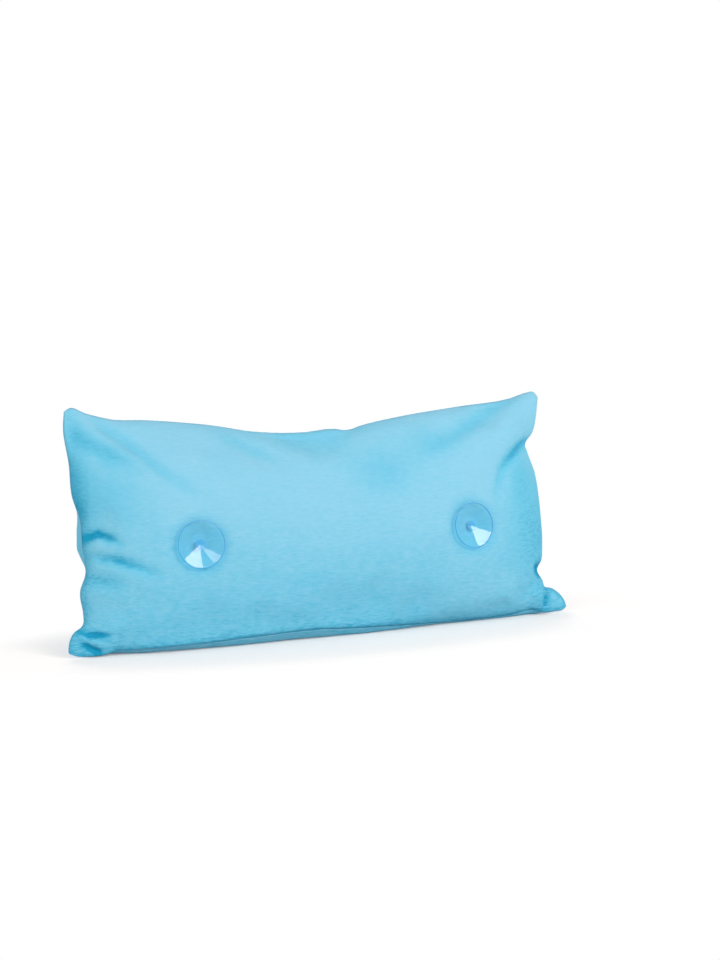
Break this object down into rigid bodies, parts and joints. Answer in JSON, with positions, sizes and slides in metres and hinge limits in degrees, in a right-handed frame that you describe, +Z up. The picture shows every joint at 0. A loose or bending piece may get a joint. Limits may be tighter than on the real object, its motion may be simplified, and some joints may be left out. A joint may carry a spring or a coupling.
{
  "type": "bath pillow",
  "caption": "Stuffed rectangular plush bath pillow that stands on its long edge, with clear suction cups on its front that spin and rock on buttoned necks.",
  "frame": {"origin": "middle of the flat base that the pillow stands on", "axes": "+X to the right as seen from the front, +Y away from the face with the cups, +Z up"},
  "size_m": [0.446, 0.0854, 0.1894],
  "materials": {
    "plush": "short-pile plush, sky blue",
    "thread": "sewing thread, matt",
    "liner_cloth": "thin non-woven cloth, white",
    "filling": "loose polyester fibre, white",
    "patch_cloth": "plain woven cloth, sky blue",
    "clear_plastic": "clear soft vinyl, glossy",
    "washer_plastic": "moulded natural plastic, satin"
  },
  "bodies": {
    "pillow": {"cover_front_panel": "plush", "cover_rear_panel": "plush", "seam_thread": "thread", "liner_front": "liner_cloth", "liner_rear": "liner_cloth", "filling_core": "filling", "left_backing_patch": "patch_cloth", "right_backing_patch": "patch_cloth"},
    "left_retainer": {"left_retaining_washer": "washer_plastic"},
    "left_cup": {"left_suction_cup": "clear_plastic"},
    "right_retainer": {"right_retaining_washer": "washer_plastic"},
    "right_cup": {"right_suction_cup": "clear_plastic"}
  },
  "joints": [
    {"name": "left_cup_tilt", "type": "hinge", "parent": "pillow", "child": "left_retainer", "pos_m": [-0.12035, -0.02695, 0.08333], "axis": [0.0161, 0.1603, 0.9869], "range_deg": [-7, 7]},
    {"name": "left_cup_spin", "type": "hinge", "parent": "left_retainer", "child": "left_cup", "pos_m": [-0.12046, -0.02803, 0.0835], "axis": [-0.0988, -0.982, 0.1611], "continuous": true},
    {"name": "right_cup_tilt", "type": "hinge", "parent": "pillow", "child": "right_retainer", "pos_m": [0.12035, -0.02695, 0.08333], "axis": [-0.0161, 0.1603, 0.9869], "range_deg": [-7, 7]},
    {"name": "right_cup_spin", "type": "hinge", "parent": "right_retainer", "child": "right_cup", "pos_m": [0.12046, -0.02803, 0.0835], "axis": [0.0988, -0.982, 0.1611], "continuous": true}
  ]
}
